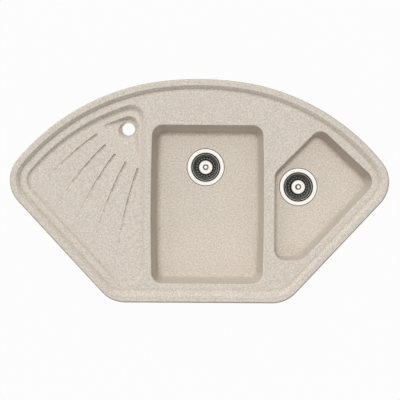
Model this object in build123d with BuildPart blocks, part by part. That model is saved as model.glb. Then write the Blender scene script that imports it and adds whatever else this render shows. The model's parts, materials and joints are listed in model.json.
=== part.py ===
from build123d import *
from math import asin, atan2, cos, degrees, radians, sin, sqrt, tan
import os

# Corner kitchen sink in moulded stone composite: a full bowl, a half bowl and a drainer
# in one body, hung in a worktop cut-out by its rim. X runs to the right, Y to the room's
# corner, and Z = 0 is the worktop, which the underside of the rim rests on.
# Every size is in millimetres and every angle in degrees.

os.makedirs("parts", exist_ok=True)

# ---- Driving dimensions ----

# Plan of the rim
width = 1060  # across the two side tips
depth = 626  # from the front edge to the top of the back curve
tip_height = 341  # from the front edge to the level of the tips
tip_radius = 88
back_in = 426.68  # from each side tip to the end of the back curve's flatter stretch
back_drop = 6.23  # from the top of the back curve to the ends of that stretch
front_set_in = 286  # from each side tip to the front edge's corner, before it is rounded
front_corner_radius = 88

# Section of the rim and deck
rim_top = 10  # above the worktop
rim_band = 18  # flat top of the rim
step_foot = 29  # from the outer edge to the foot of the step down to the deck
step_foot_front = 35.5  # the same along the front edge
deck_top = 1  # above the worktop
wall = 8  # thickness of the moulding
seat_width = 24  # of the rim's underside, which overlaps the worktop and the cut-out's edge
rim_edge_radius = 3
rim_lean_in = 3.2  # how far the rim's outer side leans in from its foot
step_radius = 3

# Seal between the rim and the worktop
seal_inset = 7  # from the outer edge to the middle of the foam strip
seal_width = 8
seal_thick = 2.2
seal_gap = 0.3  # each side of the strip in its groove

# Full bowl
bowl_left_in = 395  # from the left tip to the bowl's left side at mid-length
bowl_right_in = 349.5  # from the right tip to the bowl's right side at mid-length
bowl_front = 54  # from the sink's front edge to the bowl's
bowl_back = 130  # from the top of the back curve to the bowl's back edge
bowl_bulge = 3.5  # how far the two long sides bow out
bowl_corner = 30
bowl_depth = 190  # from the deck to the bowl's floor
bowl_floor_radius = 17

# Half bowl
bridge = 31  # deck between the two bowls
half_margin = 49.5  # from the sink's front diagonal edge to the half bowl's
half_front = 120  # from the sink's front edge to the half bowl's
half_long_side = 304.5  # along the front diagonal edge
half_left_side = 244  # beside the full bowl
half_back_turn = 45.3  # direction of the side that faces the tap ledge
half_corners = (45, 34, 27, 30, 30)  # from the front right corner, anticlockwise
half_depth = 145
half_floor_radius = 12

draft = 2.5  # lean of every bowl wall
bowl_edge_radius = 3.5

# Drainer and its sump
drainer_margin = 46.5  # from the sink's outer edge to the drainer's
drainer_front = 53
drainer_bridge = 15.7  # deck between the drainer and the full bowl
drainer_corners = (52, 42)  # front and back corner beside the full bowl
drainer_depth = 10  # below the deck, where the floor meets the sump
drainer_fall = 1.0  # slope of the floor towards the sump
drainer_lean = 48  # of the drainer's walls, from upright
drainer_floor_radius = 9
drainer_edge_radius = 4
sump_margin = 73.5
sump_bridge = 19  # from the drainer's right side to the sump's
sump_corner = 28
sump_turn = 50.2  # direction in which the sump deepens
sump_reach = 46  # from the crease at the drainer floor to the middle of the hole
sump_overlap = 20  # how far the sump's slope runs out over the drainer floor
sump_fall = 12
sump_lean = 42
sump_floor_radius = 7
hole_radius = 17.5  # for a standard overflow fitting
hole_in = 49  # from the drainer's right side to the middle of the hole
hole_margin = 109.9  # from the sink's outer edge to the middle of the hole
dish_radius = 21  # flat seat round the hole
dish_depth = 3
block_lean = 5  # draft of the block under the sump

# Five grooves that fan out from the sump across the drainer
groove_count = 5
groove_pitch = 37.6
groove_start = 34  # from the crease to the middle groove
groove_start_bow = 10  # how much nearer to the crease the outer grooves start
groove_heading = 223
groove_turn = 8.6  # from each groove to the next
groove_lengths = (206, 221, 232, 244, 283)
groove_bow = 7
groove_middle = 17  # the middle groove's place along the crease, from beside the hole
groove_radius = 3.5
groove_depth = 2.6  # at the sump end
groove_run_out = 0.5  # at the far end

# Fixing clips under the rim
worktop = 38  # thickest worktop that the clips reach under
clip_front_x = 130
clip_from_tip = 93  # along the side curve
clip_from_back = 99  # along the side curve, from the flatter stretch
boss_radius = 9
boss_drop = 22  # from the worktop's level down to the bosses' ends
insert_radius = 4.5
insert_length = 10
screw_radius = 3
screw_head_radius = 5
screw_head = 4
screw_chamfer = 0.8
clip_arm = 31
clip_toe = 8  # flat end of the arm
clip_rise = 4  # of the toe above the rest of the arm
clip_half_width = 8
clip_thick = 2.5
clip_bend = 3
clip_corner = 3
clip_gap = 2  # between the toe and the thickest worktop
turning_gap = 0.08  # between the clip's eye and its screw

# Basket strainer wastes, one in each bowl. Their heights are measured from the bowl's floor.
main_waste_side = -4.7  # from the full bowl's middle line
main_waste_back = 112  # from the full bowl's back edge
half_waste_side = 75.2  # from the half bowl's left side
half_waste_front = 207.3  # from the half bowl's front edge
floor_thick = 10
waste_opening = 44.75  # a standard 90 mm opening
waste_seat_gap = 2.5  # round the flange
waste_seat_depth = 2.6
flange_lap = 8.75  # of the flange over the floor
sheet = 1.2  # pressed stainless steel
pressing_radius = 2  # of the bends in pressed steel
cup_gap = 1.55  # between the cup and the opening
cup_taper = 3.5  # how much narrower the cup is at its floor
cup_depth = 26
cup_hole_ring = 20
cup_hole_radius = 5.5
cup_hole_count = 6
hub_radius = 11
hub_foot = 8  # radius of the hub's flat bottom
hub_depth = 5
gasket_set_back = 0.75  # of both gaskets from the opening
flange_seal_thick = 1.2
flange_seal_lap = 1.3  # of the flange's gasket past its edge, where it shows
gasket_thick = 3
gasket_width = 6.5

# Plastic waste body under the bowl, drawn up by a screw through the strainer's cup
plastic = 3  # wall
collar_lip = 2  # beyond the gasket
collar_thick = 5
funnel_set_back = 1.25  # of the funnel's wall from the opening
cone_length = 18
outlet_radius = 23.9  # outside of a one and a half inch outlet thread
outlet_length = 20
boss_tube_gap = 2  # under the strainer's hub
boss_tube_radius = 8
boss_tube_length = 18
boss_screw_gap = 0.3  # round the screw, below its insert
bar_count = 4
bar_width = 5
bar_height = 6
bar_margin = 1  # from the bars down to the funnel's cone
waste_screw_head = 6
waste_screw_head_height = 3
waste_insert_radius = 5
waste_insert_length = 12
fit_gap = 0.05  # between pieces that are fixed one in the other

# Overflow inlet on the full bowl's waste, closed by a screw cap
inlet_turn = 140  # direction in which it points
inlet_radius = 14
inlet_length = 15  # beyond the funnel
inlet_headroom = 7  # between its cap and the bowl
inlet_cap_length = 14
inlet_seal_thick = 2

# Basket that lifts out of each strainer, with its stopper
basket_gap = 1.3  # between the basket's lip and the top of the cup
basket_lip = 2.4  # width of the lip
basket_top = 3.2
basket_step = 9.5  # down to the step in the basket's side
basket_step_in = 6.8  # from the top of the cup to the step
basket_step_width = 1.8
basket_side_in = 10.5  # from the top of the cup to the foot of the basket's side
basket_sheet = 1
basket_bend = 0.8
basket_hole_in = 5.2  # from the foot of the basket's side to the ring of holes
basket_hole_radius = 2.3
basket_hole_count = 20
basket_side_hole = 1.2
basket_side_count = 30
cap_gap = 3  # between the holes and the cap
cap_drop = 4
cap_sheet = 1.2
cap_bend = 2.5
stem_radius = 3
stem_in_knob = 5
stem_collar = 6
stem_collar_height = 2.5
stem_foot = 8
stem_foot_thick = 1.2
knob_radius = 8.5
knob_top_radius = 4.8
knob_neck = 5
knob_height = 9
knob_neck_height = 3.5
knob_under = 1.3  # rise of the knob's underside from its neck to its edge
knob_edge = 0.9
knob_rounding = 0.4
stopper_gap = 7  # between the stopper and the cup's side
stopper_thick = 4
stopper_edge = 1
rest_gap = 0.3  # under a lifting piece that sits on its seat


# ---- Places worked out from the driving dimensions ----

front_y = -depth / 2
back_y = depth / 2
tip_centre = Vector(width / 2 - tip_radius, front_y + tip_height)
front_corner = Vector(width / 2 - front_set_in, front_y)

# The diagonal edge runs from the front corner and touches the tip's arc.
to_tip = tip_centre - front_corner
diagonal = degrees(atan2(to_tip.Y, to_tip.X) - asin(tip_radius / to_tip.length))
along = Vector(cos(radians(diagonal)), sin(radians(diagonal)))
outward = Vector(along.Y, -along.X)

# The side curve touches the flatter middle stretch of the back and the tip's arc.
back_run = width / 2 - back_in
back_radius = (back_run**2 + back_drop**2) / (2 * back_drop)
back_arc = degrees(asin(back_run / back_radius))
back_centre = Vector(0, back_y - back_radius)
join = Vector(sin(radians(back_arc)), cos(radians(back_arc)))
join_point = back_centre + join * back_radius
gap_to_tip = join_point - tip_centre
side_radius = (gap_to_tip.dot(gap_to_tip) - tip_radius**2) / (2 * (join.dot(gap_to_tip) - tip_radius))
side_centre = join_point - join * side_radius
tip_start = degrees(atan2(tip_centre.Y - side_centre.Y, tip_centre.X - side_centre.X))

bowl_left = -width / 2 + bowl_left_in
bowl_right = width / 2 - bowl_right_in
bowl_length = depth - bowl_front - bowl_back
bowl_centre_y = front_y + bowl_front + bowl_length / 2
drainer_right = bowl_left - drainer_bridge
sump_right = drainer_right - sump_bridge
hole_x = drainer_right - hole_in
hole_reach = side_radius - hole_margin
hole = Vector(hole_x, side_centre.Y + sqrt(hole_reach**2 - (hole_x + side_centre.X) ** 2))
fall = Vector(cos(radians(sump_turn)), sin(radians(sump_turn)))
across = Vector(fall.Y, -fall.X)
crease = hole - fall * sump_reach
crease_z = deck_top - drainer_depth
sump_z = crease_z - sump_reach * tan(radians(sump_fall))
hole_seat = Vector(hole.X, hole.Y, sump_z - dish_depth)
dish_rise = crease_z - hole_seat.Z

clip_drop = worktop + clip_gap + clip_rise + clip_thick  # to the underside of the clips' eyes
clip_inset = seat_width + clip_half_width  # keeps a stowed clip inside the cut-out

flange_radius = waste_opening + flange_lap
waste_seat_radius = flange_radius + waste_seat_gap
flange_inner = waste_opening - cup_gap - sheet
cup_bottom_radius = flange_inner - cup_taper
gasket_inner = waste_opening + gasket_set_back
gasket_radius = gasket_inner + gasket_width
collar_radius = gasket_radius + collar_lip
funnel_radius = waste_opening + funnel_set_back + plastic
boss_tube_top = -cup_depth - hub_depth - boss_tube_gap
funnel_depth = bar_height + bar_margin - boss_tube_top
cone_depth = funnel_depth + cone_length
inlet_drop = floor_thick + inlet_headroom + plastic + inlet_radius
inlet_reach = funnel_radius + inlet_length

stopper_foot = sheet - cup_depth + rest_gap
stopper_radius = cup_bottom_radius - stopper_gap
basket_floor = -stopper_foot - stopper_thick - stem_collar_height - basket_sheet
basket_floor_radius = flange_inner - basket_side_in
basket_step_radius = flange_inner - basket_step_in
basket_hole_ring = basket_floor_radius - basket_hole_in
basket_side_drop = (basket_step + basket_floor) / 2
cap_radius = basket_hole_ring - basket_hole_radius - cap_gap


def sloped(slope, drop):
    """The plane that falls towards the sump by slope, lowered by drop below the crease."""
    steep = tan(radians(slope))
    return Plane(
        origin=(crease.X, crease.Y, crease_z - drop),
        z_dir=(steep * fall.X, steep * fall.Y, 1),
    )


def plan(inset, front_inset):
    """The rim's outline, moved in by inset all round but by front_inset along the front."""
    run = (front_inset - inset * cos(radians(diagonal))) / sin(radians(diagonal))
    corner = front_corner - outward * inset + along * run
    tip_end = tip_centre + outward * (tip_radius - inset)
    with BuildSketch() as face:
        with BuildLine():
            CenterArc(side_centre, side_radius - inset, 90 - back_arc, tip_start - 90 + back_arc)
            CenterArc(tip_centre, tip_radius - inset, tip_start, diagonal - 90 - tip_start)
            Line(tip_end, corner)
            mirror(about=Plane.YZ)
            CenterArc(back_centre, back_radius - inset, 90 + back_arc, -2 * back_arc)
            Line((-corner.X, corner.Y), corner)
        make_face()
        fillet(face.vertices().group_by(Axis.Y)[0], front_corner_radius - inset)
    return face.sketch


def main_bowl_plan(grow):
    """The full bowl's rim, with its two long sides bowed out, made larger by grow."""
    left = bowl_left - grow + bowl_bulge
    right = bowl_right + grow - bowl_bulge
    low = bowl_centre_y - bowl_length / 2 - grow
    high = bowl_centre_y + bowl_length / 2 + grow
    with BuildSketch() as face:
        with BuildLine():
            Line((left, low), (right, low))
            ThreePointArc((right, low), (right + bowl_bulge, bowl_centre_y), (right, high))
            Line((right, high), (left, high))
            ThreePointArc((left, high), (left - bowl_bulge, bowl_centre_y), (left, low))
        make_face()
        fillet(face.vertices(), bowl_corner + grow)
    return face.sketch


def half_bowl_plan(grow):
    """The half bowl's five-sided rim, made larger by grow."""
    left = bowl_right + bridge
    low = front_y + half_front
    inner = front_corner - outward * half_margin
    front_right = inner + along * ((low - inner.Y) / along.Y)
    right_tip = front_right + along * half_long_side
    back_left = Vector(left, low + half_left_side)
    # The last corner lies square to the long side and on the line from the left side's top.
    back_way = Vector(cos(radians(half_back_turn)), sin(radians(half_back_turn)))
    reach = (right_tip - back_left).dot(along) / back_way.dot(along)
    apex = back_left + back_way * reach
    with BuildSketch() as face:
        with BuildLine():
            Polyline((left, low), front_right, right_tip, apex, back_left, close=True)
        make_face()
        corners = [front_right, right_tip, apex, back_left, Vector(left, low)]
        for point, radius in zip(corners, half_corners):
            fillet(face.vertices().sort_by_distance(point)[0], radius)
        if grow:
            offset(amount=grow)
    return face.sketch


def drainer_plan():
    """The drainer's rim: it follows the sink's outline and stops beside the full bowl."""
    with BuildSketch() as face:
        add(plan(drainer_margin, drainer_front))
        with Locations((drainer_right, 0)):
            Rectangle(width, 2 * depth, align=(Align.MAX, Align.CENTER), mode=Mode.INTERSECT)
        for corner, radius in zip((0, -1), drainer_corners):
            fillet(face.vertices().group_by(Axis.X)[-1].sort_by(Axis.Y)[corner], radius)
    return face.sketch


def sump_plan(grow, overlap):
    """The three-cornered sump, reaching past the crease by overlap."""
    start = crease - fall * overlap
    with BuildSketch() as face:
        add(plan(sump_margin - grow, sump_margin - grow))
        with Locations((sump_right + grow, 0)):
            Rectangle(width, 2 * depth, align=(Align.MAX, Align.CENTER), mode=Mode.INTERSECT)
        with Locations(Location((start.X, start.Y, 0), (0, 0, sump_turn))):
            Rectangle(width, 2 * depth, align=(Align.MIN, Align.CENTER), mode=Mode.INTERSECT)
        back_corner = Vector(sump_right, back_y)
        fillet(face.vertices().sort_by_distance(back_corner)[0], sump_corner + grow)
    return face.sketch


def bowl_block(outline, top, bottom, floor_radius):
    """A solid with a bowl's drafted walls and rounded floor, under the outline given."""
    with BuildPart() as block:
        with BuildSketch(Plane.XY.offset(top)):
            add(outline)
        extrude(amount=bottom - top, taper=draft)
        fillet(block.faces().sort_by(Axis.Z)[0].edges(), floor_radius)
    return block.part


def seal_plan(grow):
    """The foam strip's ring under the rim, made wider each way by grow."""
    outer = seal_inset - seal_width / 2 - grow
    inner = seal_inset + seal_width / 2 + grow
    with BuildSketch() as face:
        add(plan(outer, outer))
        add(plan(inner, inner), mode=Mode.SUBTRACT)
    return face.sketch


def turned(centre, *outline):
    """A solid turned about the vertical line through centre, from (radius, height) points."""
    with BuildPart() as solid:
        with BuildSketch(Plane(origin=centre, x_dir=(1, 0, 0), z_dir=(0, -1, 0))):
            with BuildLine():
                Polyline(*outline, close=True)
            make_face()
        revolve(axis=Axis(centre, (0, 0, 1)))
    return solid.part


def pressed(centre, thickness, bend, *profile):
    """A round pressing of even thickness, whose middle surface has the profile given."""
    with BuildPart() as solid:
        with BuildSketch(Plane(origin=centre, x_dir=(1, 0, 0), z_dir=(0, -1, 0))):
            with BuildLine():
                FilletPolyline(*profile, radius=bend)
            trace(line_width=thickness)
        revolve(axis=Axis(centre, (0, 0, 1)))
    return solid.part


def level_edges(part, height):
    """The part's edges that lie wholly at one height."""
    return part.edges().filter_by_position(Axis.Z, height - 0.01, height + 0.01).filter_by(
        lambda edge: edge.bounding_box().size.Z < 0.01
    )


def clip_stations():
    """Each clip's screw centre and the way out to the worktop's edge, right side first."""
    diagonal_middle = (front_corner + tip_centre + outward * tip_radius) / 2
    right_side = [
        (Vector(clip_front_x, front_y + clip_inset), Vector(0, -1)),
        (diagonal_middle - outward * clip_inset, outward),
    ]
    for angle in (
        radians(tip_start) + clip_from_tip / side_radius,
        radians(90 - back_arc) - clip_from_back / side_radius,
    ):
        way = Vector(cos(angle), sin(angle))
        right_side.append((side_centre + way * (side_radius - clip_inset), way))
    left_side = [(Vector(-point.X, point.Y), Vector(-way.X, way.Y)) for point, way in right_side]
    return right_side + left_side


stations = clip_stations()
clip_places = [Location((point.X, point.Y, 0)) for point, way in stations]

main_floor = deck_top - bowl_depth
half_floor = deck_top - half_depth
wastes = {
    "main": Vector(
        (bowl_left + bowl_right) / 2 + main_waste_side,
        bowl_centre_y + bowl_length / 2 - main_waste_back,
        main_floor,
    ),
    "half": Vector(
        bowl_right + bridge + half_waste_side,
        front_y + half_front + half_waste_front,
        half_floor,
    ),
}


# ---- The moulded body ----

with BuildPart() as drainer_void:
    with BuildSketch(Plane.XY.offset(deck_top)):
        add(drainer_plan())
    extrude(amount=-2 * drainer_depth, taper=drainer_lean)
    split(bisect_by=sloped(drainer_fall, 0), keep=Keep.TOP)
    fillet(drainer_void.faces().sort_by(Axis.Z)[0].edges(), drainer_floor_radius)

with BuildPart() as sump_void:
    with BuildSketch(Plane.XY.offset(deck_top)):
        add(sump_plan(drainer_depth * tan(radians(sump_lean)), sump_overlap))
    extrude(amount=sump_z - deck_top - 2 * sump_floor_radius, taper=sump_lean)
    split(bisect_by=sloped(sump_fall, 0), keep=Keep.TOP)
    fillet(sump_void.faces().sort_by(Axis.Z)[0].edges(), sump_floor_radius)

with BuildPart() as drainer_pan:
    with BuildSketch():
        add(drainer_plan())
        offset(amount=wall / 2)
    extrude(amount=-drainer_depth - 2 * wall)
    split(bisect_by=sloped(drainer_fall, wall), keep=Keep.TOP)

with BuildPart() as grooves:
    for number in range(groove_count):
        off_middle = number - (groove_count - 1) / 2
        start = groove_start - groove_start_bow * (2 * off_middle / (groove_count - 1)) ** 2
        heading = radians(groove_heading + number * groove_turn)
        way = Vector(cos(heading), sin(heading))
        side = Vector(way.Y, -way.X)
        length = groove_lengths[number]
        first = crease - fall * start + across * (groove_middle + off_middle * groove_pitch)
        bowed = first + way * (length / 2) + side * groove_bow
        last = first + way * length
        depths = (groove_depth, (groove_depth + groove_run_out) / 2, groove_run_out)
        points = []
        for spot, cut in zip((first, bowed, last), depths):
            floor_here = crease_z - tan(radians(drainer_fall)) * (spot - crease).dot(fall)
            points.append(Vector(spot.X, spot.Y, floor_here + groove_radius - cut))
        with BuildLine() as groove_path:
            ThreePointArc(*points)
        with BuildSketch(Plane(groove_path.line @ 0, z_dir=groove_path.line % 0)):
            Circle(groove_radius)
        sweep(path=groove_path.line)
        with Locations(points[0]):
            Sphere(groove_radius)

with BuildPart() as sink_body:
    # Rim and deck
    with BuildSketch():
        add(plan(0, 0))
    with BuildSketch(Plane.XY.offset(rim_top)):
        add(plan(rim_lean_in, rim_lean_in))
    loft(ruled=True)
    with BuildSketch():
        add(plan(seat_width, seat_width))
    extrude(amount=deck_top - wall)
    # Outsides of the bowls, the drainer and the sump
    add(bowl_block(main_bowl_plan(wall), 0, main_floor - floor_thick, bowl_floor_radius + wall))
    add(bowl_block(half_bowl_plan(wall), 0, half_floor - floor_thick, half_floor_radius + wall))
    add(drainer_pan.part)
    with BuildSketch():
        add(sump_plan(wall, wall))
    extrude(amount=sump_z - dish_depth - wall, taper=block_lean)
    # Bosses for the clips
    with BuildSketch():
        with Locations(*clip_places):
            Circle(boss_radius)
    extrude(amount=-boss_drop)
    # Step from the rim down to the deck
    with BuildSketch(Plane.XY.offset(rim_top)):
        add(plan(rim_band, rim_band))
    with BuildSketch(Plane.XY.offset(deck_top)):
        add(plan(step_foot, step_foot_front))
    loft(ruled=True, mode=Mode.SUBTRACT)
    # Insides of the bowls
    add(
        bowl_block(main_bowl_plan(0), deck_top, main_floor, bowl_floor_radius),
        mode=Mode.SUBTRACT,
    )
    add(
        bowl_block(half_bowl_plan(0), deck_top, half_floor, half_floor_radius),
        mode=Mode.SUBTRACT,
    )
    fillet(level_edges(sink_body, deck_top), bowl_edge_radius)
    # Rounded rim
    fillet(sink_body.faces().sort_by(Axis.Z)[-1].outer_wire().edges(), rim_edge_radius)
    fillet(sink_body.faces().sort_by(Axis.Z)[-1].inner_wires()[0].edges(), step_radius)
    # Drainer, sump, overflow hole and grooves
    add(drainer_void.part, mode=Mode.SUBTRACT)
    fillet(
        sink_body.edges(Select.LAST).filter_by_position(Axis.Z, deck_top, deck_top),
        drainer_edge_radius,
    )
    add(sump_void.part, mode=Mode.SUBTRACT)
    add(
        turned(
            hole_seat,
            (0, 0),
            (dish_radius, 0),
            (dish_radius + dish_rise, dish_rise),
            (0, dish_rise),
        ),
        mode=Mode.SUBTRACT,
    )
    with BuildSketch(Plane(hole_seat)):
        Circle(hole_radius)
    extrude(amount=2 * wall, both=True, mode=Mode.SUBTRACT)
    add(grooves.part, mode=Mode.SUBTRACT)
    # Seats and openings for the wastes
    for centre in wastes.values():
        with BuildSketch(Plane(centre)):
            Circle(waste_seat_radius)
        extrude(amount=-waste_seat_depth, mode=Mode.SUBTRACT)
        with BuildSketch(Plane(centre)):
            Circle(waste_opening)
        extrude(amount=-2 * floor_thick, mode=Mode.SUBTRACT)
    # Groove for the seal, and holes for the threaded inserts
    with BuildSketch():
        add(seal_plan(seal_gap))
    extrude(amount=seal_thick, mode=Mode.SUBTRACT)
    with BuildSketch(Plane.XY.offset(-boss_drop)):
        with Locations(*clip_places):
            Circle(insert_radius + fit_gap)
    extrude(amount=insert_length, mode=Mode.SUBTRACT)

with BuildPart() as rim_seal:
    with BuildSketch():
        add(seal_plan(0))
    extrude(amount=seal_thick)


# ---- Fixing clips ----

with BuildPart() as clip_inserts:
    with BuildSketch(Plane.XY.offset(-boss_drop)):
        with Locations(*clip_places):
            Circle(insert_radius)
            Circle(screw_radius + fit_gap, mode=Mode.SUBTRACT)
    extrude(amount=insert_length)

with BuildPart() as clip_screws:
    with BuildSketch(Plane.XY.offset(-clip_drop - rest_gap)):
        with Locations(*clip_places):
            Circle(screw_radius)
    extrude(amount=clip_drop - boss_drop + insert_length)
    with BuildSketch(Plane.XY.offset(-clip_drop - rest_gap)):
        with Locations(*clip_places):
            RegularPolygon(screw_head_radius, 6)
    extrude(amount=-screw_head)
    chamfer(clip_screws.faces().group_by(Axis.Z)[0].edges(), screw_chamfer)


def clip(point, way):
    """A strip bent up at its toe, with an eye for its screw, stowed along the rim."""
    stowed = Vector(-way.Y, way.X) * (1 if point.X > 0 else -1)
    side_view = Plane(
        origin=(point.X, point.Y, clip_thick / 2 - clip_drop),
        x_dir=(stowed.X, stowed.Y, 0),
        z_dir=(stowed.Y, -stowed.X, 0),
    )
    ramp = clip_arm - clip_toe
    with BuildPart() as strip:
        with BuildSketch(side_view):
            with BuildLine():
                FilletPolyline(
                    (-clip_half_width, 0),
                    (ramp - clip_rise, 0),
                    (ramp, clip_rise),
                    (clip_arm, clip_rise),
                    radius=clip_bend,
                )
            trace(line_width=clip_thick)
        extrude(amount=clip_half_width, both=True)
        fillet(strip.edges().filter_by(Axis.Z), clip_corner)
        with BuildSketch(Plane.XY.offset(-clip_drop - clip_thick)):
            with Locations((point.X, point.Y)):
                Circle(screw_radius + turning_gap)
        extrude(amount=3 * clip_thick, mode=Mode.SUBTRACT)
    return strip.part


# ---- Strainers, wastes and baskets ----


def ring(centre, inner, outer, bottom, height):
    """A flat ring round the vertical line through centre."""
    with BuildPart() as washer:
        with BuildSketch(Plane(centre + Vector(0, 0, bottom))):
            Circle(outer)
            Circle(inner, mode=Mode.SUBTRACT)
        extrude(amount=height)
    return washer.part


def strainer_flange(centre):
    """The pressed strainer: a flange in the bowl's floor, a cup and a hub for its screw."""
    half_sheet = sheet / 2
    floor = half_sheet - cup_depth
    with BuildPart() as cup:
        add(
            pressed(
                centre,
                sheet,
                pressing_radius,
                (flange_radius, flange_seal_thick - waste_seat_depth + half_sheet),
                (flange_inner + half_sheet, flange_seal_thick - waste_seat_depth + half_sheet),
                (cup_bottom_radius + half_sheet, floor),
                (hub_radius + half_sheet, floor),
                (hub_foot + half_sheet, floor - hub_depth),
                (0, floor - hub_depth),
            )
        )
        with BuildSketch(Plane(centre)):
            with PolarLocations(cup_hole_ring, cup_hole_count):
                Circle(cup_hole_radius)
            Circle(screw_radius + fit_gap)
        extrude(amount=-2 * cup_depth, mode=Mode.SUBTRACT)
    return cup.part


def inlet_plane(centre, reach):
    """The plane across the overflow inlet, at a distance from the middle of the waste."""
    way = Vector(cos(radians(inlet_turn)), sin(radians(inlet_turn)))
    return Plane(centre - Vector(0, 0, inlet_drop) + way * reach, z_dir=way)


def waste_body(centre, with_inlet):
    """The moulded funnel under the bowl, its outlet, and the bars that hold its screw."""
    collar_top = -floor_thick - gasket_thick
    collar_foot = collar_top - collar_thick
    inner_funnel = funnel_radius - plastic
    inner_outlet = outlet_radius - plastic
    with BuildPart() as funnel:
        add(
            turned(
                centre,
                (0, collar_top),
                (collar_radius, collar_top),
                (collar_radius, collar_foot),
                (funnel_radius, collar_foot),
                (funnel_radius, -funnel_depth),
                (outlet_radius, -cone_depth),
                (outlet_radius, -cone_depth - outlet_length),
                (0, -cone_depth - outlet_length),
            )
        )
        if with_inlet:
            with BuildSketch(inlet_plane(centre, 0)):
                Circle(inlet_radius)
            extrude(amount=inlet_reach)
        add(
            turned(
                centre,
                (0, collar_top),
                (inner_funnel, collar_top),
                (inner_funnel, -funnel_depth),
                (inner_outlet, -cone_depth),
                (inner_outlet, -cone_depth - outlet_length),
                (0, -cone_depth - outlet_length),
            ),
            mode=Mode.SUBTRACT,
        )
        if with_inlet:
            with BuildSketch(inlet_plane(centre, 0)):
                Circle(inlet_radius - plastic)
            extrude(amount=inlet_reach, mode=Mode.SUBTRACT)
        with BuildSketch(Plane(centre + Vector(0, 0, boss_tube_top))):
            with PolarLocations(0, bar_count):
                Rectangle(inner_funnel + plastic / 2, bar_width, align=(Align.MIN, Align.CENTER))
        extrude(amount=-bar_height)
        with BuildSketch(Plane(centre + Vector(0, 0, boss_tube_top))):
            Circle(boss_tube_radius)
        extrude(amount=-boss_tube_length)
        with BuildSketch(Plane(centre + Vector(0, 0, boss_tube_top))):
            Circle(waste_insert_radius + fit_gap)
        extrude(amount=-waste_insert_length, mode=Mode.SUBTRACT)
        with BuildSketch(Plane(centre + Vector(0, 0, boss_tube_top))):
            Circle(screw_radius + boss_screw_gap)
        extrude(amount=-boss_tube_length, mode=Mode.SUBTRACT)
    return funnel.part


def centre_screw(centre):
    """The screw that draws the strainer and the waste body together."""
    seat = sheet - cup_depth - hub_depth
    tip = boss_tube_top - waste_insert_length
    return turned(
        centre,
        (0, seat + waste_screw_head_height),
        (waste_screw_head - screw_chamfer, seat + waste_screw_head_height),
        (waste_screw_head, seat + waste_screw_head_height - screw_chamfer),
        (waste_screw_head, seat),
        (screw_radius, seat),
        (screw_radius, tip),
        (0, tip),
    )


def basket(centre):
    """The lift-out basket: a stepped cup with holes in its floor and its side."""
    half_sheet = basket_sheet / 2
    lip = flange_inner - basket_gap
    crest = lip - basket_lip
    with BuildPart() as cup:
        add(
            pressed(
                centre,
                basket_sheet,
                basket_bend,
                (lip, -basket_top - basket_lip / 2),
                (crest, -basket_top - half_sheet),
                (basket_step_radius, -basket_step),
                (basket_step_radius - basket_step_width, -basket_step - basket_sheet),
                (basket_floor_radius, -basket_floor - half_sheet),
                (0, -basket_floor - half_sheet),
            )
        )
        with BuildSketch(Plane(centre - Vector(0, 0, basket_floor - basket_sheet))):
            with PolarLocations(basket_hole_ring, basket_hole_count):
                Circle(basket_hole_radius)
            Circle(stem_radius + fit_gap)
        extrude(amount=-3 * basket_sheet, mode=Mode.SUBTRACT)
        for number in range(basket_side_count):
            turn = 360 * number / basket_side_count
            around = Vector(cos(radians(turn)), sin(radians(turn)))
            with BuildSketch(Plane(centre - Vector(0, 0, basket_side_drop), z_dir=around)):
                Circle(basket_side_hole)
            extrude(amount=basket_step_radius, mode=Mode.SUBTRACT)
    return cup.part


def basket_cap(centre):
    """The polished cover over the basket's middle, standing on its floor."""
    half_sheet = cap_sheet / 2
    with BuildPart() as cover:
        add(
            pressed(
                centre,
                cap_sheet,
                cap_bend,
                (0, -cap_drop - half_sheet),
                (cap_radius - half_sheet, -cap_drop - half_sheet),
                (cap_radius - half_sheet, -basket_floor),
            )
        )
        with BuildSketch(Plane(centre)):
            Circle(stem_radius + fit_gap)
        extrude(amount=-cap_drop - 2 * cap_sheet, mode=Mode.SUBTRACT)
    return cover.part


def basket_knob(centre):
    """The knob that the basket is lifted by, with a blind hole for its stem."""
    head = knob_neck_height - cap_drop
    with BuildPart() as knob:
        add(
            turned(
                centre,
                (0, -cap_drop),
                (knob_neck, -cap_drop),
                (knob_neck, head),
                (knob_radius, head + knob_under),
                (knob_radius, head + knob_under + knob_edge),
                (knob_top_radius, knob_height - cap_drop),
                (0, knob_height - cap_drop),
            )
        )
        rims = knob.edges().filter_by(GeomType.CIRCLE).sort_by(SortBy.RADIUS)[-2:]
        fillet(rims, knob_rounding)
        with BuildSketch(Plane(centre - Vector(0, 0, cap_drop))):
            Circle(stem_radius + fit_gap)
        extrude(amount=stem_in_knob + fit_gap, mode=Mode.SUBTRACT)
    return knob.part


def basket_stem(centre):
    """The stem that joins knob, cap, basket and stopper, with a collar and a foot."""
    return turned(
        centre,
        (0, stem_in_knob - cap_drop),
        (stem_radius, stem_in_knob - cap_drop),
        (stem_radius, -basket_floor - basket_sheet),
        (stem_collar, -basket_floor - basket_sheet),
        (stem_collar, stopper_foot + stopper_thick),
        (stem_radius, stopper_foot + stopper_thick),
        (stem_radius, stopper_foot),
        (stem_foot, stopper_foot),
        (stem_foot, stopper_foot - stem_foot_thick),
        (0, stopper_foot - stem_foot_thick),
    )


def stopper(centre):
    """The rubber disc that closes the cup's openings while the basket is down."""
    with BuildPart() as disc:
        add(ring(centre, stem_radius + fit_gap, stopper_radius, stopper_foot, stopper_thick))
        fillet(disc.edges().filter_by(GeomType.CIRCLE).sort_by(SortBy.RADIUS)[-2:], stopper_edge)
    return disc.part


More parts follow.
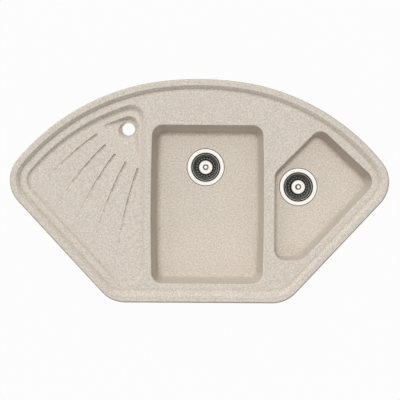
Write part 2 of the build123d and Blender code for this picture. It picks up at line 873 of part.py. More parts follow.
def overflow_cap(centre):
    """The cap screwed over the overflow inlet and its seal."""
    closed = inlet_reach + inlet_seal_thick
    start = closed + plastic - inlet_cap_length
    with BuildPart() as cap:
        with BuildSketch(inlet_plane(centre, start)):
            Circle(inlet_radius + plastic)
        extrude(amount=inlet_cap_length)
        with BuildSketch(inlet_plane(centre, start)):
            Circle(inlet_radius + fit_gap)
        extrude(amount=closed - start, mode=Mode.SUBTRACT)
    return cap.part


def overflow_seal(centre):
    """The disc of rubber between the overflow inlet and its cap."""
    with BuildPart() as disc:
        with BuildSketch(inlet_plane(centre, inlet_reach)):
            Circle(inlet_radius)
        extrude(amount=inlet_seal_thick)
    return disc.part


# ---- All pieces, each in its own file ----

pieces = {
    "sink_body": sink_body.part,
    "rim_seal": rim_seal.part,
    "clip_inserts": clip_inserts.part,
    "clip_screws": clip_screws.part,
}
for number, (point, way) in enumerate(stations, 1):
    pieces[f"clip_{number}"] = clip(point, way)
for side, centre in wastes.items():
    pieces[f"{side}_strainer_flange"] = strainer_flange(centre)
    pieces[f"{side}_flange_gasket"] = ring(
        centre,
        gasket_inner,
        flange_radius + flange_seal_lap,
        -waste_seat_depth,
        flange_seal_thick,
    )
    pieces[f"{side}_body_gasket"] = ring(
        centre, gasket_inner, gasket_radius, -floor_thick - gasket_thick, gasket_thick
    )
    pieces[f"{side}_waste_body"] = waste_body(centre, side == "main")
    pieces[f"{side}_screw_insert"] = ring(
        centre,
        screw_radius + fit_gap,
        waste_insert_radius,
        boss_tube_top - waste_insert_length,
        waste_insert_length,
    )
    pieces[f"{side}_centre_screw"] = centre_screw(centre)
    pieces[f"{side}_basket"] = basket(centre)
    pieces[f"{side}_basket_cap"] = basket_cap(centre)
    pieces[f"{side}_basket_knob"] = basket_knob(centre)
    pieces[f"{side}_basket_stem"] = basket_stem(centre)
    pieces[f"{side}_stopper"] = stopper(centre)
pieces["main_overflow_cap"] = overflow_cap(wastes["main"])
pieces["main_overflow_seal"] = overflow_seal(wastes["main"])

for name, piece in pieces.items():
    piece.label = name
    export_step(piece, f"parts/{name}.step")
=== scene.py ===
import json
import math

import bpy
from mathutils import Matrix, Vector


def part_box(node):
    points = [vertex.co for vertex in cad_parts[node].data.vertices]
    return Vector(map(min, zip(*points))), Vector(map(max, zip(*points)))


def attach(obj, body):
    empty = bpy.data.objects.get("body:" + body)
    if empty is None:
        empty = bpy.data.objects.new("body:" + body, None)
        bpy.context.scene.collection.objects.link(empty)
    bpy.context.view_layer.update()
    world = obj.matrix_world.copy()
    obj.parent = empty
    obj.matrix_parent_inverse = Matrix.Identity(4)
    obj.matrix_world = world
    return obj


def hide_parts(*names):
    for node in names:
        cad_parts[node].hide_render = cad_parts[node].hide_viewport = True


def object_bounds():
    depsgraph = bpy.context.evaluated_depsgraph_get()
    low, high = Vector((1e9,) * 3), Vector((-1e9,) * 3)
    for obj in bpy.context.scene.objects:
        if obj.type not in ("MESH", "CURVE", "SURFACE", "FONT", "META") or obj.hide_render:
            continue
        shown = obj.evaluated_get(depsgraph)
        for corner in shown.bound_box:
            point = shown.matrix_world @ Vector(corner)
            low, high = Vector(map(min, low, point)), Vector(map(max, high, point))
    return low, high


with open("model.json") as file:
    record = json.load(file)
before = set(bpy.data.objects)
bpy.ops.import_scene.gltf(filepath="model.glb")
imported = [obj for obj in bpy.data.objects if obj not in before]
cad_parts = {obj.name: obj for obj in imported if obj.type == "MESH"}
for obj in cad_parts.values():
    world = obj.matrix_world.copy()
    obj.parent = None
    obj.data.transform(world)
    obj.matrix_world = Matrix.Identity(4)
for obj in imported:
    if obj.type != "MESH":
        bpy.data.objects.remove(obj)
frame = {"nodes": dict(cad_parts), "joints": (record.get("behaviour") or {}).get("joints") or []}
cad_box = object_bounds()
nodes = frame["nodes"]


# ---- Moulded body ----
# One casting of quartz sand in acrylic resin, beige and matt right through. It is poured in
# a closed mould: its upper face takes the mould's even skin with fine grains showing, and its
# underside stays duller and coarser. It hangs in the worktop's cut-out by its rim.

def linear(code):
    """The linear colour of an sRGB hex code such as d6ccbf."""
    shares = [int(code[k:k + 2], 16) / 255 for k in (0, 2, 4)]
    return [s / 12.92 if s <= 0.04045 else ((s + 0.055) / 1.055) ** 2.4 for s in shares] + [1]


def put(tree, kind, links=(), **settings):
    """Adds a node: links and values go to its inputs by name or number, the rest is set on it."""
    made = tree.nodes.new(kind)
    for name, value in settings.items():
        setattr(made, name, value)
    for name, value in dict(links).items():
        if isinstance(value, bpy.types.NodeSocket):
            tree.links.new(value, made.inputs[name])
        else:
            made.inputs[name].default_value = value
    return made


def finish_of(name, **values):
    """A new material with its shader's own values set: gives it, its tree, shader and place."""
    material = bpy.data.materials.new(name)
    material.use_nodes = True
    tree = material.node_tree
    shader = tree.nodes["Principled BSDF"]
    for socket, value in values.items():
        shader.inputs[socket.replace("_", " ")].default_value = value
    place = put(tree, "ShaderNodeTexCoord").outputs["Object"]
    return material, tree, shader, place


def dress(name, material):
    """Gives a CAD node its material."""
    mesh = nodes[name].data
    mesh.materials.clear()
    mesh.materials.append(material)


# Quartz composite: mineral grains in resin, so an even matt skin with a very soft sheen. Its
# 0.7 mm grains are too fine to show from above, so a 4.5 mm speckle stands for their clumps.
cloud_size = 0.09
speckle_size = 0.0045
grain_size = 0.0007
composite, tree, shader, place = finish_of("quartz_composite", IOR=1.53,
                                           Specular_IOR_Level=0.3)
clouds = put(tree, "ShaderNodeTexNoise", {"Vector": place, "Scale": 1 / cloud_size,
                                          "Detail": 2.0})
ground = put(tree, "ShaderNodeMix", {0: clouds.outputs["Fac"], 6: linear("cec5ba"),
                                     7: linear("c8c0b5")}, data_type="RGBA")
speckle = put(tree, "ShaderNodeTexNoise", {"Vector": place, "Scale": 1 / speckle_size,
                                           "Detail": 3.0})
tone = put(tree, "ShaderNodeMapRange", {"Value": speckle.outputs["Fac"], "From Min": 0.32,
                                        "From Max": 0.68, "To Min": 0.79, "To Max": 1.15})
spread = put(tree, "ShaderNodeMix", {0: 1.0, 6: ground.outputs[2], 7: tone.outputs[0]},
             data_type="RGBA", blend_type="MULTIPLY")
# About one grain in eight is dark, and one in six is pale.
grain = put(tree, "ShaderNodeTexVoronoi", {"Vector": place, "Scale": 1 / grain_size})
grain_kind = put(tree, "ShaderNodeSeparateColor", {0: grain.outputs["Color"]})
speckled = spread
for rule, limit, share, code in (("LESS_THAN", 0.13, 0.34, "85796b"),
                                 ("GREATER_THAN", 0.82, 0.4, "efe8dc")):
    chosen = put(tree, "ShaderNodeMath", {0: grain_kind.outputs[0], 1: limit}, operation=rule)
    strength = put(tree, "ShaderNodeMath", {0: chosen.outputs[0], 1: share}, operation="MULTIPLY")
    speckled = put(tree, "ShaderNodeMix", {0: strength.outputs[0], 6: speckled.outputs[2],
                                           7: linear(code)}, data_type="RGBA")
# Edges that are wiped and knocked turn a little paler and smoother.
wear_reach = 0.004
edge = put(tree, "ShaderNodeAmbientOcclusion", {"Distance": wear_reach}, samples=4, inside=True)
worn = put(tree, "ShaderNodeMapRange", {"Value": edge.outputs["AO"], "From Min": 0.95,
                                        "From Max": 0.6, "To Min": 0.0, "To Max": 0.3})
skin = put(tree, "ShaderNodeMix", {0: worn.outputs[0], 6: speckled.outputs[2],
                                   7: linear("dbd2c6")}, data_type="RGBA")
# Painted shade: the colour darkens in the grooves, in creases and along the feet of the walls,
# where other faces close in within 8 mm.
shade_reach = 0.008
hollow_shade = put(tree, "ShaderNodeAmbientOcclusion", {"Distance": shade_reach}, samples=6)
painted_shade = put(tree, "ShaderNodeMapRange", {"Value": hollow_shade.outputs["AO"], "From Min": 0.99,
                                           "From Max": 0.82, "To Min": 0.0, "To Max": 0.66})
shaded_skin = put(tree, "ShaderNodeMix", {0: painted_shade.outputs[0], 6: skin.outputs[2],
                                     7: linear("85745f")}, data_type="RGBA")
# The underside, whose faces look down, keeps the coarser face of the mould's back half.
facing = put(tree, "ShaderNodeNewGeometry")
upright = put(tree, "ShaderNodeSeparateXYZ", {0: facing.outputs["True Normal"]})
under = put(tree, "ShaderNodeMapRange", {"Value": upright.outputs["Z"], "From Min": -0.015,
                                         "From Max": -0.035})
dull = put(tree, "ShaderNodeMix", {0: 1.0, 6: speckled.outputs[2], 7: linear("dcd6cc")},
           data_type="RGBA", blend_type="MULTIPLY")
colour = put(tree, "ShaderNodeMix", {0: under.outputs[0], 6: shaded_skin.outputs[2],
                                     7: dull.outputs[2]}, data_type="RGBA")
tree.links.new(colour.outputs[2], shader.inputs["Base Color"])
matt = put(tree, "ShaderNodeMapRange", {"Value": speckle.outputs["Fac"], "From Min": 0.3,
                                        "From Max": 0.7, "To Min": 0.47, "To Max": 0.6})
rougher = put(tree, "ShaderNodeMath", {0: under.outputs[0], 1: 0.25, 2: matt.outputs[0]},
              operation="MULTIPLY_ADD")
smoother = put(tree, "ShaderNodeMath", {0: worn.outputs[0], 1: -0.35, 2: rougher.outputs[0]},
               operation="MULTIPLY_ADD")
tree.links.new(smoother.outputs[0], shader.inputs["Roughness"])
# The relief is the grains' own, with 6 mm ripples of the poured mix on the underside.
ripple_size = 0.006
relief_depth = 0.00006
flow = put(tree, "ShaderNodeTexNoise", {"Vector": place, "Scale": 1 / ripple_size, "Detail": 4.0})
flow_height = put(tree, "ShaderNodeMath", {0: flow.outputs["Fac"], 1: under.outputs[0]},
                  operation="MULTIPLY")
height = put(tree, "ShaderNodeMath", {0: flow_height.outputs[0], 1: 5.0,
                                      2: grain.outputs["Distance"]}, operation="MULTIPLY_ADD")
relief = put(tree, "ShaderNodeBump", {"Height": height.outputs[0], "Distance": relief_depth,
                                      "Strength": 0.6})
tree.links.new(relief.outputs[0], shader.inputs["Normal"])
dress("sink_body", composite)


# ---- Rim seal ----
# A strip of closed-cell foam in a groove under the rim. It is laid in from a roll and is
# pressed flush when the sink is fitted, and its cells show as a fine even pitting.

cell_size = 0.0006
pit_depth = 0.0002
foam, tree, shader, place = finish_of("closed_cell_foam", IOR=1.45, Roughness=0.85)
cell = put(tree, "ShaderNodeTexVoronoi", {"Vector": place, "Scale": 1 / cell_size})
cell_tone = put(tree, "ShaderNodeMix", {0: cell.outputs["Distance"], 6: linear("4d4c4a"),
                                        7: linear("636260")}, data_type="RGBA")
tree.links.new(cell_tone.outputs[2], shader.inputs["Base Color"])
pit = put(tree, "ShaderNodeBump", {"Height": cell.outputs["Distance"], "Distance": pit_depth,
                                   "Strength": 0.8})
tree.links.new(pit.outputs[0], shader.inputs["Normal"])
dress("rim_seal", foam)


# ---- Threaded inserts ----
# Free-cutting brass, turned and knurled, moulded into the bosses under the rim and into the
# wastes' bosses. Turning leaves fine rings, and handling dulls the yellow here and there.

tarnish_size = 0.004
# A wave's bands stand 0.31 of its scale's length apart, so these rings are 1.9 mm apart.
turning_size = 0.006
ring_height = 0.00002
brass, tree, shader, place = finish_of("turned_brass", Metallic=1.0)
tarnish = put(tree, "ShaderNodeTexNoise", {"Vector": place, "Scale": 1 / tarnish_size,
                                           "Detail": 4.0})
yellow = put(tree, "ShaderNodeMix", {0: tarnish.outputs["Fac"], 6: linear("c9ab63"),
                                     7: linear("a68343")}, data_type="RGBA")
tree.links.new(yellow.outputs[2], shader.inputs["Base Color"])
dulled = put(tree, "ShaderNodeMapRange", {"Value": tarnish.outputs["Fac"], "To Min": 0.22,
                                          "To Max": 0.42})
tree.links.new(dulled.outputs[0], shader.inputs["Roughness"])
turning = put(tree, "ShaderNodeTexWave", {"Vector": place, "Scale": 1 / turning_size,
                                          "Distortion": 0.4}, bands_direction="Z")
rings = put(tree, "ShaderNodeBump", {"Height": turning.outputs["Fac"], "Distance": ring_height})
tree.links.new(rings.outputs[0], shader.inputs["Normal"])
for name in ("clip_inserts", "main_screw_insert", "half_screw_insert"):
    dress(name, brass)


# ---- Clip screws and clips ----
# M6 screws of zinc-plated steel, and strips pressed from 2.5 mm plated steel sheet that swing
# out under the worktop when the screws draw them up. Plating gives a cool grey with fine
# crystals, and bare steel shows darker where the head and the edges rub.

crystal_size = 0.0015
rub_reach = 0.0008
grit_size = 0.0004
zinc, tree, shader, place = finish_of("zinc_plated_steel", Metallic=1.0)
crystal = put(tree, "ShaderNodeTexVoronoi", {"Vector": place, "Scale": 1 / crystal_size})
crystal_tone = put(tree, "ShaderNodeSeparateColor", {0: crystal.outputs["Color"]})
plate = put(tree, "ShaderNodeMix", {0: crystal_tone.outputs[0], 6: linear("b9bdc0"),
                                    7: linear("c8cac6")}, data_type="RGBA")
rub = put(tree, "ShaderNodeAmbientOcclusion", {"Distance": rub_reach}, samples=4, inside=True)
rubbed = put(tree, "ShaderNodeMapRange", {"Value": rub.outputs["AO"], "From Min": 0.85,
                                          "From Max": 0.5, "To Min": 0.0, "To Max": 0.6})
steel_tone = put(tree, "ShaderNodeMix", {0: rubbed.outputs[0], 6: plate.outputs[2],
                                         7: linear("8f9091")}, data_type="RGBA")
tree.links.new(steel_tone.outputs[2], shader.inputs["Base Color"])
sheen = put(tree, "ShaderNodeMapRange", {"Value": crystal_tone.outputs[1], "To Min": 0.3,
                                         "To Max": 0.42})
tree.links.new(sheen.outputs[0], shader.inputs["Roughness"])
grit = put(tree, "ShaderNodeTexNoise", {"Vector": place, "Scale": 1 / grit_size, "Detail": 2.0})
skin_bump = put(tree, "ShaderNodeBump", {"Height": grit.outputs["Fac"], "Distance": 0.00001})
tree.links.new(skin_bump.outputs[0], shader.inputs["Normal"])
dress("clip_screws", zinc)
for number in range(1, 9):
    dress(f"clip_{number}", zinc)


def tree_with(name, **kinds):
    """An empty tree whose inputs have the kinds given, and those inputs."""
    tree = bpy.data.node_groups.new(name, "GeometryNodeTree")
    for title, kind in kinds.items():
        tree.interface.new_socket(title, in_out="INPUT", socket_type="NodeSocket" + kind)
    tree.interface.new_socket("Mesh", in_out="OUTPUT", socket_type="NodeSocketGeometry")
    return tree, put(tree, "NodeGroupInput").outputs


def end_tree(tree, instances, finish):
    """Ends a tree: its instances become real mesh in the finish given."""
    solid = put(tree, "GeometryNodeRealizeInstances", {"Geometry": instances})
    finished = put(tree, "GeometryNodeSetMaterial", {
        "Geometry": solid.outputs["Geometry"], "Material": finish})
    put(tree, "NodeGroupOutput", {"Mesh": finished.outputs["Geometry"]})


def grown(name, tree, points, body, slot, **inputs):
    """The piece that a tree makes at the points given, as a plain mesh riding on a body."""
    start = bpy.data.meshes.new(name + "_points")
    start.from_pydata([tuple(p) for p in points], [], [])
    maker = bpy.data.objects.new(name + "_maker", start)
    bpy.context.scene.collection.objects.link(maker)
    modifier = maker.modifiers.new("maker", "NODES")
    modifier.node_group = tree
    for item in tree.interface.items_tree:
        if item.in_out == "INPUT" and item.name in inputs:
            modifier[item.identifier] = inputs[item.name]
    seen = maker.evaluated_get(bpy.context.evaluated_depsgraph_get())
    mesh = bpy.data.meshes.new_from_object(seen)
    bpy.data.objects.remove(maker)
    piece = bpy.data.objects.new(name, mesh)
    bpy.context.scene.collection.objects.link(piece)
    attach(piece, body)
    return piece


# The threads are helical ridges round the shanks. One tree makes every thread on the object:
# a ridge swept along a helix, set at each point of the mesh that it is given.
thread_tree, given = tree_with("thread", Points="Geometry", Radius="Float", Pitch="Float",
                               Length="Float", Ridge="Float", Finish="Material")
turns = put(thread_tree, "ShaderNodeMath", {0: given["Length"], 1: given["Pitch"]},
            operation="DIVIDE")
helix = put(thread_tree, "GeometryNodeCurveSpiral", {
    "Resolution": 32, "Rotations": turns.outputs[0], "Start Radius": given["Radius"],
    "End Radius": given["Radius"], "Height": given["Length"]})
ridge = put(thread_tree, "GeometryNodeCurvePrimitiveCircle", {"Resolution": 4,
                                                              "Radius": given["Ridge"]})
swept = put(thread_tree, "GeometryNodeCurveToMesh", {
    "Curve": helix.outputs["Curve"], "Profile Curve": ridge.outputs["Curve"], "Fill Caps": True})
placed = put(thread_tree, "GeometryNodeInstanceOnPoints", {
    "Points": given["Points"], "Instance": swept.outputs["Mesh"]})
end_tree(thread_tree, placed.outputs["Instances"], given["Finish"])

# Each thread runs from just above its clip's eye to just below its insert. The hinges stand
# on the screws' middles, so the threads' places are read from the joints.
thread_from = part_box("clip_1")[0].z + 0.003
thread_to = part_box("clip_inserts")[0].z - 0.0005
shanks = [Vector((j["pos_m"][0], j["pos_m"][1], thread_from))
          for j in frame["joints"] if j["type"] == "hinge"]
grown("clip_screw_threads", thread_tree, shanks, "sink", "zinc_steel", Radius=0.003, Pitch=0.001,
      Length=thread_to - thread_from, Ridge=0.00032, Finish=zinc)


# ---- Strainers ----
# Each strainer is deep drawn from 1.2 mm stainless sheet, with a flat flange that lies in a
# seat in the bowl's floor. It is polished on a lathe, so fine rings run round its middle.
# Polished flat faces mirror the bright room overhead, and below the flange the cup's steep side is
# painted near black as shade.

def steel_for(name, centre, pale, dark, gloss, ring_depth, bands=(), shade_below=None):
    """Lathe-finished stainless steel about centre: bands are (radius, half width, tone, metal)."""
    ring_gap = 0.00025
    smear_size = 0.012
    material, tree, shader, place = finish_of(name, Metallic=1.0)
    middle = put(tree, "ShaderNodeMapping", {"Vector": place,
                                             "Location": (-centre[0], -centre[1], 0)})
    flat = put(tree, "ShaderNodeVectorMath", {0: middle.outputs[0], 1: (1, 1, 0)},
               operation="MULTIPLY")
    radius = put(tree, "ShaderNodeVectorMath", {0: flat.outputs[0]}, operation="LENGTH")
    depth = put(tree, "ShaderNodeSeparateXYZ", {0: place})
    run = put(tree, "ShaderNodeMath", {0: radius.outputs["Value"], 1: depth.outputs["Z"]},
              operation="ADD")
    ring = put(tree, "ShaderNodeTexNoise", {"W": run.outputs[0], "Scale": 1 / ring_gap,
                                            "Detail": 2.0}, noise_dimensions="1D")
    smear = put(tree, "ShaderNodeTexNoise", {"Vector": place, "Scale": 1 / smear_size,
                                             "Detail": 3.0})
    tint = put(tree, "ShaderNodeMix", {0: smear.outputs["Fac"], 6: linear(pale),
                                       7: linear(dark)}, data_type="RGBA")
    # Each band fades out over half a millimetre. Where its metal is below 1, the band is a painted
    # highlight on matt steel.
    bare = 1.0
    for band_radius, half_width, band_tone, metal in bands:
        off = put(tree, "ShaderNodeMath", {0: radius.outputs["Value"], 1: band_radius},
                  operation="SUBTRACT")
        away = put(tree, "ShaderNodeMath", {0: off.outputs[0]}, operation="ABSOLUTE")
        inside = put(tree, "ShaderNodeMapRange", {
            "Value": away.outputs[0], "From Min": half_width - 0.0002,
            "From Max": half_width + 0.0003, "To Min": 1.0, "To Max": 0.0})
        tint = put(tree, "ShaderNodeMix", {0: inside.outputs[0], 6: tint.outputs[2],
                                           7: linear(band_tone)}, data_type="RGBA")
        if metal < 1:
            highlight_band = put(tree, "ShaderNodeMath", {0: inside.outputs[0], 1: metal - 1, 2: bare},
                          operation="MULTIPLY_ADD")
            bare = highlight_band.outputs[0]
    if bare != 1.0:
        tree.links.new(bare, shader.inputs["Metallic"])
    if shade_below is not None:
        # Painted shade: the colour goes near black below this height, fully 2 mm further down, for
        # the dark inside the cup.
        cup_shade = put(tree, "ShaderNodeMapRange", {
            "Value": depth.outputs["Z"], "From Min": shade_below, "From Max": shade_below - 0.002})
        tint = put(tree, "ShaderNodeMix", {0: cup_shade.outputs[0], 6: tint.outputs[2],
                                           7: linear("161615")}, data_type="RGBA")
    tree.links.new(tint.outputs[2], shader.inputs["Base Color"])
    both = put(tree, "ShaderNodeMath", {0: ring.outputs["Fac"], 1: 0.6,
                                        2: smear.outputs["Fac"]}, operation="MULTIPLY_ADD")
    rubbed = put(tree, "ShaderNodeMapRange", {
        "Value": both.outputs[0], "From Min": 0.5, "From Max": 1.1, "To Min": gloss[0],
        "To Max": gloss[1]})
    tree.links.new(rubbed.outputs[0], shader.inputs["Roughness"])
    groove = put(tree, "ShaderNodeBump", {"Height": ring.outputs["Fac"],
                                          "Distance": ring_depth})
    tree.links.new(groove.outputs[0], shader.inputs["Normal"])
    return material


flange_rise = 0.0014  # of the flange's face over the painted shade in the cup
polish = {"pale": "faf7f0", "dark": "f2eee6", "gloss": (0.1, 0.2), "ring_depth": 0.000002}
middles = {}
for side in ("main", "half"):
    low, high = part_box(f"{side}_strainer_flange")
    middles[side] = Vector(((low.x + high.x) / 2, (low.y + high.y) / 2, high.z))
    dress(f"{side}_strainer_flange",
          steel_for(f"polished_stainless_{side}", middles[side], **polish,
                    shade_below=middles[side].z - flange_rise))
    dress(f"{side}_basket_cap", steel_for(f"bright_stainless_{side}", middles[side], **polish))
    # The knob is greyer, but for the polished dimple in its top.
    dress(f"{side}_basket_knob",
          steel_for(f"turned_stainless_{side}", middles[side], "a09f9d", "8b8a88",
                    gloss=(0.16, 0.28), ring_depth=0.000002,
                    bands=((0.0, 0.0047, "f4f3f0", 1.0),)))


# ---- Baskets ----
# The lift-out basket is pressed and pierced from 1 mm stainless sheet, with a satin finish whose
# near-black colour is painted shade for the deep cup.
# Its stem is turned from bar. Pale rings on its steps and a grey band round the crumb-catching
# holes in its floor are painted highlights.

# Painted highlights: pale rings on the basket's steps, and a grey band round the holes in its
# floor.
painted_highlight_rings = ((0.0383, 0.0005, "d2d2ce", 0.0), (0.0345, 0.0003, "a8a8a4", 0.0),
             (0.0317, 0.0005, "c2c2be", 0.0), (0.0263, 0.0022, "6a6a68", 0.2))
satin = {}
for side in ("main", "half"):
    # Painted shade: the steel's near-black colour stands for the dark of the deep cup.
    satin[side] = steel_for(f"shade_painted_stainless_{side}", middles[side], "0f0f0f", "090909",
                            gloss=(0.24, 0.38), ring_depth=0.000006, bands=painted_highlight_rings)
    dress(f"{side}_basket", satin[side])
    dress(f"{side}_basket_stem", satin[side])


# ---- Stoppers and gaskets ----
# Black rubber, moulded: the stopper closes the cup, and flat gaskets seal the strainer, the
# waste body and the overflow cap. Its skin is matt with a faint bloom and fine pores.

def moulded(name, ior, cloud, colours, gloss, pore_strength, scuff=None):
    """A moulded finish: cloud and scuff are (size, detail), and gloss runs between two pairs."""
    pore_size = 0.0005
    pore_depth = 0.00003
    material, tree, shader, place = finish_of(name, IOR=ior)
    tone = put(tree, "ShaderNodeTexNoise", {"Vector": place, "Scale": 1 / cloud[0],
                                            "Detail": cloud[1]})
    tint = put(tree, "ShaderNodeMix", {0: tone.outputs["Fac"], 6: linear(colours[0]),
                                       7: linear(colours[1])}, data_type="RGBA")
    tree.links.new(tint.outputs[2], shader.inputs["Base Color"])
    if scuff:
        tone = put(tree, "ShaderNodeTexNoise", {"Vector": place, "Scale": 1 / scuff[0],
                                                "Detail": scuff[1]})
    (from_low, from_high), (to_low, to_high) = gloss
    matt = put(tree, "ShaderNodeMapRange", {
        "Value": tone.outputs["Fac"], "From Min": from_low, "From Max": from_high,
        "To Min": to_low, "To Max": to_high})
    tree.links.new(matt.outputs[0], shader.inputs["Roughness"])
    pore = put(tree, "ShaderNodeTexNoise", {"Vector": place, "Scale": 1 / pore_size,
                                            "Detail": 2.0})
    pores = put(tree, "ShaderNodeBump", {"Height": pore.outputs["Fac"], "Distance": pore_depth,
                                         "Strength": pore_strength})
    tree.links.new(pores.outputs[0], shader.inputs["Normal"])
    return material


rubber = moulded("black_rubber", 1.52, cloud=(0.008, 4.0), colours=("1f1f1e", "30302e"),
                 gloss=((0, 1), (0.55, 0.75)), pore_strength=0.7)
for side in ("main", "half"):
    for name in ("stopper", "flange_gasket", "body_gasket"):
        dress(f"{side}_{name}", rubber)
dress("main_overflow_seal", rubber)


# ---- Waste bodies ----
# Natural white polypropylene, injection moulded, drawn up against the bowl by the centre
# screw. The tool's spark-eroded faces leave a fine satin grain, and handling leaves scuffs.

white_plastic = moulded("white_polypropylene", 1.49, cloud=(0.03, 3.0),
                        colours=("e7e6e1", "dbdad4"), gloss=((0.35, 0.65), (0.34, 0.5)),
                        pore_strength=0.6, scuff=(0.004, 5.0))
for side in ("main", "half"):
    dress(f"{side}_waste_body", white_plastic)
    # The outlet's pipe thread has 11 turns to the inch and starts 1.5 mm up from its end.
    foot = Vector((middles[side].x, middles[side].y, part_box(f"{side}_waste_body")[0].z + 0.0015))
    grown(f"{side}_outlet_thread", thread_tree, [foot], "sink", "pale_plastic", Radius=0.0239,
          Pitch=0.00231, Length=0.0165, Ridge=0.0007, Finish=white_plastic)


# ---- Centre screws ----
# Turned stainless screws with a hexagon socket, which draw strainer and waste body together.
# Each replaces the plain solid, whose head has no socket. Its shank stays plain, with no thread.

def screw_mesh(name, centre, low, high):
    """A cap screw's shell from low to high about centre, with a six-sided socket in its head."""
    steps = 48
    head, head_height, chamfer = 0.006, 0.003, 0.0008
    shank, bevel = 0.003, 0.0003
    socket, socket_depth = 0.0029, 0.002

    def circle(radius, z):
        return [Vector((radius * math.cos(math.tau * k / steps),
                        radius * math.sin(math.tau * k / steps), z)) for k in range(steps)]

    def hexagon(flat, z):
        out = []
        for k in range(steps):
            turn = math.tau * k / steps
            reach = flat / math.cos((turn % (math.tau / 6)) - math.tau / 12)
            out.append(Vector((reach * math.cos(turn), reach * math.sin(turn), z)))
        return out

    rows = [hexagon(socket, high - socket_depth), hexagon(socket, high - bevel),
            hexagon(socket + bevel, high), circle(head - chamfer, high),
            circle(head, high - chamfer), circle(head, high - head_height),
            circle(shank, high - head_height), circle(shank, low + bevel),
            circle(shank - bevel, low)]
    points = [centre + p for row in rows for p in row]
    faces = [tuple(range(steps))]
    for r in range(len(rows) - 1):
        for k in range(steps):
            a, b = r * steps + k, r * steps + (k + 1) % steps
            faces.append((a, a + steps, b + steps, b))
    last = (len(rows) - 1) * steps
    faces.append(tuple(last + k for k in reversed(range(steps))))
    mesh = bpy.data.meshes.new(name)
    mesh.from_pydata([tuple(p) for p in points], [], faces)
    mesh.shade_smooth()
    mesh.set_sharp_from_angle(angle=math.radians(30))
    return mesh


for side in ("main", "half"):
    low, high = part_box(f"{side}_centre_screw")
    centre = Vector((middles[side].x, middles[side].y, 0))
    screw = bpy.data.objects.new(f"{side}_centre_screw_socket",
                                 screw_mesh(f"{side}_screw", centre, low.z, high.z))
    bpy.context.scene.collection.objects.link(screw)
    screw.data.materials.append(satin[side])
    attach(screw, "sink")
    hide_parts(f"{side}_centre_screw")


# ---- Overflow cap ----
# A black polypropylene screw cap on the main waste's unused overflow inlet. It is moulded
# with ribs round it for the fingers, and its top carries the tool's fine grain.

black_plastic = moulded("black_polypropylene", 1.49, cloud=(0.01, 3.0),
                        colours=("26272a", "34363a"), gloss=((0, 1), (0.36, 0.52)),
                        pore_strength=0.6)
dress("main_overflow_cap", black_plastic)

# The ribs stand evenly round the cap's side and are set about its own slanted axis.
rib_tree, given = tree_with("grip_ribs", Points="Geometry", Count="Int", Radius="Float",
                            Length="Float", Rib="Float", Finish="Material")
round_points = put(rib_tree, "GeometryNodeCurvePrimitiveCircle", {
    "Resolution": given["Count"], "Radius": given["Radius"]})
spots = put(rib_tree, "GeometryNodeCurveToPoints", {"Curve": round_points.outputs["Curve"]},
            mode="EVALUATED")
bar = put(rib_tree, "GeometryNodeMeshCylinder", {
    "Vertices": 8, "Side Segments": 1, "Radius": given["Rib"], "Depth": given["Length"]})
stand = put(rib_tree, "GeometryNodeInstanceOnPoints", {
    "Points": spots.outputs["Points"], "Instance": bar.outputs["Mesh"]})
end_tree(rib_tree, stand.outputs["Instances"], given["Finish"])
ribs = grown("overflow_cap_ribs", rib_tree, [(0, 0, 0)], "sink", "dark_plastic", Count=28,
             Radius=0.0168, Length=0.0115, Rib=0.0008, Finish=black_plastic)
low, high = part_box("main_overflow_cap")
cap_middle = (low + high) / 2
cap_way = Vector((cap_middle.x - middles["main"].x, cap_middle.y - middles["main"].y, 0))
cap_turn = cap_way.to_track_quat("Z", "Y").to_matrix().to_4x4()
ribs.data.transform(Matrix.Translation(cap_middle) @ cap_turn)


# ---- Floor, light and camera ----
# A plain pale floor under the sink and a white room. A large soft light hangs overhead and a
# low fill comes from the back left. The camera looks straight down as in the photograph.

floor_z = cad_box[0].z - 0.0005
reach = 20
floor_mesh = bpy.data.meshes.new("floor")
floor_mesh.from_pydata([(-reach, -reach, floor_z), (reach, -reach, floor_z),
                        (reach, reach, floor_z), (-reach, reach, floor_z)], [], [(0, 1, 2, 3)])
floor = bpy.data.objects.new("floor", floor_mesh)
bpy.context.scene.collection.objects.link(floor)
# The camera and mirrors see the floor nearly white, with a trace of the sink's shadow.
floor_finish, tree, shader, place = finish_of(
    "pale_floor", Base_Color=linear("8f8e8c"), Roughness=0.9, Specular_IOR_Level=0.1)
ray = put(tree, "ShaderNodeLightPath").outputs
seen = put(tree, "ShaderNodeMath", {0: ray["Is Camera Ray"], 1: ray["Is Glossy Ray"]},
           operation="MAXIMUM")
through = put(tree, "ShaderNodeMath", {0: seen.outputs[0], 1: ray["Is Transmission Ray"]},
              operation="MAXIMUM")
share = put(tree, "ShaderNodeMath", {0: through.outputs[0], 1: 0.97}, operation="MULTIPLY")
white = put(tree, "ShaderNodeEmission", {"Color": (1, 1, 1, 1), "Strength": 1.0})
blend = put(tree, "ShaderNodeMixShader", {0: share.outputs[0], 1: shader.outputs[0],
                                          2: white.outputs[0]})
tree.links.new(blend.outputs[0], tree.nodes["Material Output"].inputs["Surface"])
floor_mesh.materials.append(floor_finish)

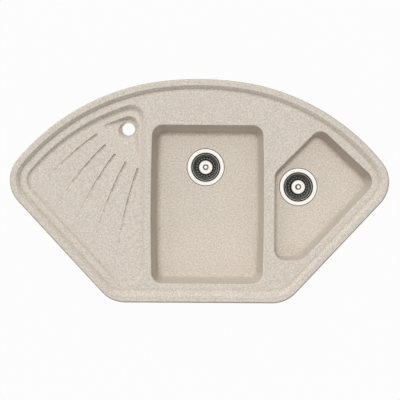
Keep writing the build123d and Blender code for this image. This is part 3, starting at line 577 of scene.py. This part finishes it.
# The room is white to the camera, and in mirrors it is brightest overhead.
world = bpy.data.worlds.new("white_room")
world.use_nodes = True
bpy.context.scene.world = world
tree = world.node_tree
ambient = tree.nodes["Background"]
ambient.inputs["Color"].default_value = (1, 0.965, 0.91, 1)
ambient.inputs["Strength"].default_value = 0.3
way = put(tree, "ShaderNodeTexCoord").outputs["Generated"]
rise = put(tree, "ShaderNodeSeparateXYZ", {0: way})
room = put(tree, "ShaderNodeMapRange", {"Value": rise.outputs["Z"], "From Min": 0.3,
                                        "From Max": 0.88, "To Min": 0.1, "To Max": 1.03})
mirrored = put(tree, "ShaderNodeBackground", {"Color": (1, 1, 1, 1),
                                              "Strength": room.outputs[0]})
backdrop = put(tree, "ShaderNodeBackground", {"Color": (1, 1, 1, 1), "Strength": 1.0})
ray = put(tree, "ShaderNodeLightPath").outputs
bent = put(tree, "ShaderNodeMath", {0: ray["Is Glossy Ray"], 1: ray["Is Transmission Ray"]},
           operation="MAXIMUM")
first = put(tree, "ShaderNodeMixShader", {0: bent.outputs[0], 1: ambient.outputs[0],
                                          2: mirrored.outputs[0]})
last = put(tree, "ShaderNodeMixShader", {0: ray["Is Camera Ray"], 1: first.outputs[0],
                                         2: backdrop.outputs[0]})
tree.links.new(last.outputs[0], tree.nodes["World Output"].inputs["Surface"])

# A wide softbox hangs overhead. A second light comes low from the back left, so that every
# bank and step shows. It is a fill that casts no shadow, and the bowls' floors stay even.
softbox_width = 3.8
fill_spread = 25
for name, kind, place, power in (("overhead_softbox", "AREA", (0, 0, 4.2), 66.0),
                                 ("low_fill", "SUN", (-1.2, 2.05, 2.3), 2.25)):
    lamp = bpy.data.lights.new(name, kind)
    lamp.energy = power
    lamp.color = (0.985, 0.99, 1)
    if kind == "AREA":
        lamp.shape = "DISK"
        lamp.size = softbox_width
    else:
        lamp.angle = math.radians(fill_spread)
        lamp.use_shadow = False
    hung = bpy.data.objects.new(name, lamp)
    hung.location = place
    hung.rotation_mode = "QUATERNION"
    hung.rotation_quaternion = hung.location.to_track_quat("Z", "Y")
    hung.visible_camera = False
    hung.visible_glossy = False
    bpy.context.scene.collection.objects.link(hung)

# The camera hangs 3.75 m above the worktop, and its picture is 1.116 m wide just above the
# deck. It is turned by a third of a degree, as the sink's front edge shows.
picture_width = 1.1164
picture_distance = 3.746
camera_turn = 0.35
lens = bpy.data.cameras.new("overhead")
lens.sensor_width = 36
lens.lens = lens.sensor_width * picture_distance / picture_width
camera = bpy.data.objects.new("overhead", lens)
camera.location = (0.0019, -0.0254, 3.75)
camera.rotation_euler = (0, 0, math.radians(camera_turn))
bpy.context.scene.collection.objects.link(camera)
bpy.context.scene.camera = camera
bpy.context.scene.view_settings.view_transform = "Standard"
